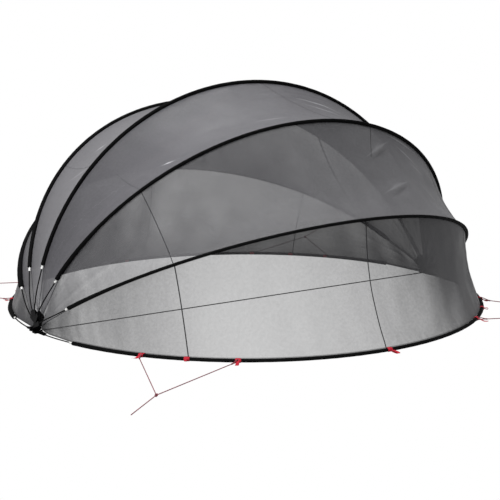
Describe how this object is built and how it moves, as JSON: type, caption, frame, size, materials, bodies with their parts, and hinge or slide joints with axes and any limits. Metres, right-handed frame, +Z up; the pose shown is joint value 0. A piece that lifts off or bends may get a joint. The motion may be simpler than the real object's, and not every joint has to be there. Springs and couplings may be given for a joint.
{
  "type": "folding dome canopy",
  "caption": "Round fold-back dome canopy: mesh gores over half hoops that fan from two end hubs, pegged out with red cords and webbing loops.",
  "frame": {"origin": "on the floor at the centre of the ground ring", "axes": "+X along the hub axis, -Y the sheer front, +Z up"},
  "size_m": [6.7836, 6.3848, 2.586],
  "materials": {
    "black_plastic": "moulded black plastic, satin",
    "steel_axle": "plain steel pin",
    "black_sleeve_cloth": "black woven sleeve cloth, matt",
    "black_pole": "black glass-fibre pole with a pale collar",
    "sheer_front_mesh": "very sheer dark mesh",
    "grey_mesh_cloth": "half see-through dark grey mesh, lightly glossy",
    "black_webbing": "black woven webbing",
    "red_cord": "red cord and webbing"
  },
  "bodies": {
    "base": {"hub_left": "black_plastic", "hub_right": "black_plastic", "axle_left": "steel_axle", "axle_right": "steel_axle", "sleeve_a": "black_sleeve_cloth", "sleeve_g": "black_sleeve_cloth", "pole_a_left": "black_pole", "pole_a_right": "black_pole", "pole_g_left": "black_pole", "pole_g_right": "black_pole", "gore_f_g": "grey_mesh_cloth", "ground_strap": "black_webbing", "guy_front_left": "red_cord", "guy_front_right": "red_cord", "guy_rear_left": "red_cord", "guy_rear_right": "red_cord", "peg_loop_front_left": "red_cord", "peg_loop_front_right": "red_cord", "peg_loop_rear_left": "red_cord", "peg_loop_rear_right": "red_cord", "peg_loop_front": "red_cord", "peg_loop_rear": "red_cord"},
    "hoop_f": {"sleeve_f": "black_sleeve_cloth", "pole_f_left": "black_pole", "pole_f_right": "black_pole", "gore_e_f": "grey_mesh_cloth"},
    "hoop_e": {"sleeve_e": "black_sleeve_cloth", "pole_e_left": "black_pole", "pole_e_right": "black_pole", "gore_d_e": "grey_mesh_cloth"},
    "hoop_d": {"sleeve_d": "black_sleeve_cloth", "pole_d_left": "black_pole", "pole_d_right": "black_pole", "gore_c_d": "grey_mesh_cloth"},
    "hoop_c": {"sleeve_c": "black_sleeve_cloth", "pole_c_left": "black_pole", "pole_c_right": "black_pole", "gore_b_c": "grey_mesh_cloth"},
    "hoop_b": {"sleeve_b": "black_sleeve_cloth", "pole_b_left": "black_pole", "pole_b_right": "black_pole", "gore_front": "sheer_front_mesh"}
  },
  "joints": [
    {"name": "fold_f", "type": "hinge", "parent": "base", "child": "hoop_f", "pos_m": [0, 0, 0.06], "axis": [-1, 0, 0], "range_deg": [0, 25], "deforming": ["gore_f_g"]},
    {"name": "fold_e", "type": "hinge", "parent": "hoop_f", "child": "hoop_e", "pos_m": [0, 0, 0.06], "axis": [-1, 0, 0], "range_deg": [0, 25], "deforming": ["gore_e_f"]},
    {"name": "fold_d", "type": "hinge", "parent": "hoop_e", "child": "hoop_d", "pos_m": [0, 0, 0.06], "axis": [-1, 0, 0], "range_deg": [0, 25], "deforming": ["gore_d_e"]},
    {"name": "fold_c", "type": "hinge", "parent": "hoop_d", "child": "hoop_c", "pos_m": [0, 0, 0.06], "axis": [-1, 0, 0], "range_deg": [0, 25], "deforming": ["gore_c_d"]},
    {"name": "fold_b", "type": "hinge", "parent": "hoop_c", "child": "hoop_b", "pos_m": [0, 0, 0.06], "axis": [-1, 0, 0], "range_deg": [0, 25], "deforming": ["gore_b_c"]}
  ],
  "couplings": [
    {"joint": "fold_e", "follows": "fold_f", "ratio": 1},
    {"joint": "fold_d", "follows": "fold_f", "ratio": 1},
    {"joint": "fold_c", "follows": "fold_f", "ratio": 1},
    {"joint": "fold_b", "follows": "fold_f", "ratio": 1}
  ]
}
